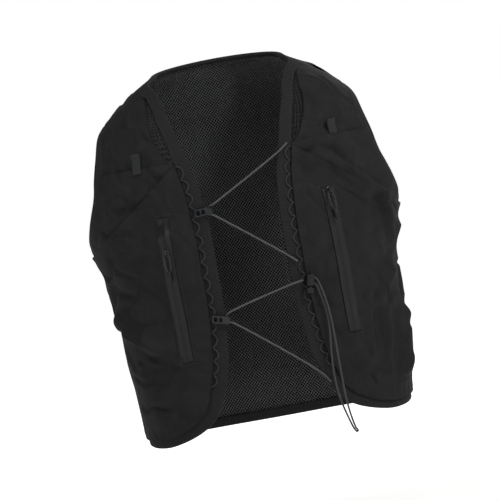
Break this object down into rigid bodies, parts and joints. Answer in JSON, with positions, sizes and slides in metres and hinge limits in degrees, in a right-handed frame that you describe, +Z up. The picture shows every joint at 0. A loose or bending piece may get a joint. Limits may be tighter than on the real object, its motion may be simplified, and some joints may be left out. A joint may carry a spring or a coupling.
{
  "type": "running hydration vest",
  "caption": "Sleeveless running vest in its worn shape: mesh-lined back and fronts, bound edges, flask and zip pockets, cord lacing with hooks and a sprung cord lock.",
  "frame": {"origin": "midway between the two shoulders, level with the shoulder seams' middle, where the body holds the vest up", "axes": "+Z up along the worn vest, the front faces -Y, +X is the wearer's left"},
  "size_m": [0.3752, 0.2372, 0.4579],
  "materials": {
    "shell": "matt woven stretch cloth",
    "lining": "open knitted mesh",
    "tape": "matt knitted binding",
    "webbing": "woven webbing",
    "cord": "braided cord",
    "zip": "coated zip tape and teeth",
    "slider": "semi-gloss black",
    "hook": "glossy black",
    "plastic": "satin moulded plastic"
  },
  "bodies": {
    "root": {"back_mesh": "lining", "back_shell": "shell", "neck_binding": "tape", "back_hem": "tape", "upper_hook": "hook", "lower_hook": "hook", "lock_body": "plastic", "upper_lace": "cord", "lower_lace": "cord", "tail_cord": "cord", "left_front_mesh": "lining", "left_front_shell": "shell", "left_flask_pocket": "shell", "left_zip_pocket": "shell", "left_placket_tape": "tape", "left_front_hem": "tape", "left_armhole_binding": "tape", "left_daisy_chain": "cord", "left_zip_tape": "zip", "left_zip_slider": "slider", "left_zip_pull_cord": "cord", "left_zip_pull_end": "plastic", "left_webbing_loop": "webbing", "right_front_mesh": "lining", "right_front_shell": "shell", "right_flask_pocket": "shell", "right_zip_pocket": "shell", "right_placket_tape": "tape", "right_front_hem": "tape", "right_armhole_binding": "tape", "right_daisy_chain": "cord", "right_zip_tape": "zip", "right_zip_slider": "slider", "right_zip_pull_cord": "cord", "right_zip_pull_end": "plastic", "right_webbing_loop": "webbing"},
    "button": {"lock_button": "plastic"}
  },
  "joints": [
    {"name": "button_slide", "type": "slide", "parent": "root", "child": "button", "axis": [0.1706, 0.0322, 0.9848], "range_m": [0, 0.0025], "stiffness_N_per_m": 300}
  ]
}
